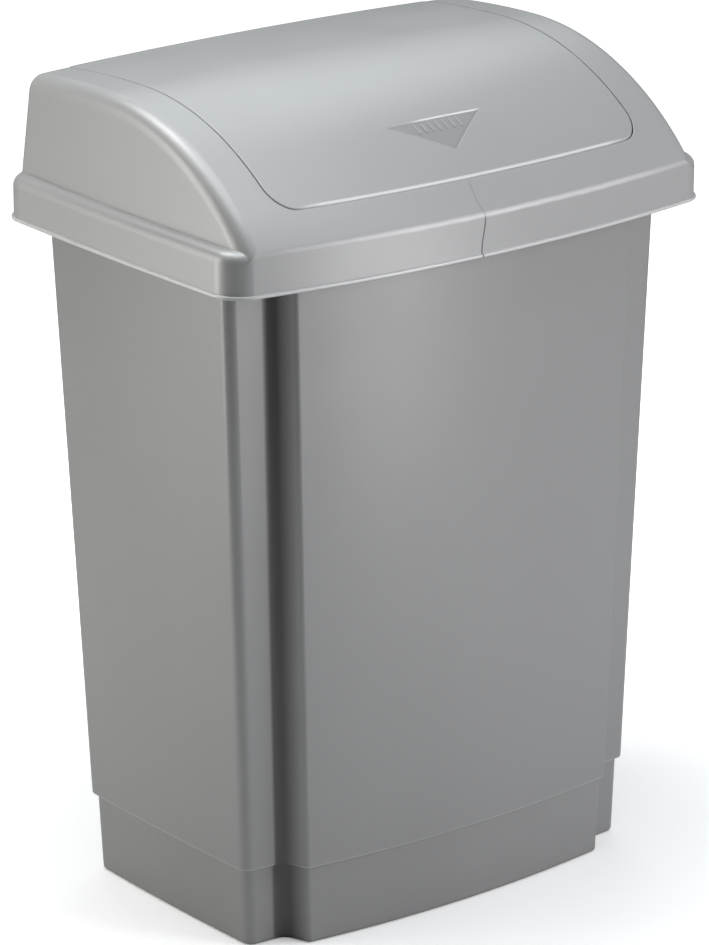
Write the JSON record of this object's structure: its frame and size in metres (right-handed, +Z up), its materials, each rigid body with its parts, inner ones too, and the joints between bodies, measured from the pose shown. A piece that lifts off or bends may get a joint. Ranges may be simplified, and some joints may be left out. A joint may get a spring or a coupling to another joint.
{
  "type": "swing-lid trash can",
  "caption": "Tapered plastic kitchen bin with a lift-off hood and a gravity-closing push flap that swings inward on moulded trunnions.",
  "frame": {"origin": "middle of the lid's plan, at floor level", "axes": "+Z up, -Y towards the side that is pushed, X across, along the flap's hinge"},
  "size_m": [0.414, 0.28, 0.5809],
  "materials": {
    "tub_plastic": "satin moulded polypropylene, silver grey",
    "hood_plastic": "satin moulded polypropylene, lighter silver grey",
    "flap_plastic": "satin moulded polypropylene, lighter silver grey"
  },
  "bodies": {
    "tub": {"bin_body": "tub_plastic"},
    "hood": {"lid_hood": "hood_plastic"},
    "flap": {"swing_flap": "flap_plastic"}
  },
  "joints": [
    {"name": "hood_lift", "type": "slide", "parent": "tub", "child": "hood", "axis": [0, 0, 1], "range_m": [0, 0.06]},
    {"name": "flap_swing", "type": "hinge", "parent": "hood", "child": "flap", "pos_m": [0, -0.007, 0.566], "axis": [1, 0, 0], "range_deg": [0, 75]}
  ]
}
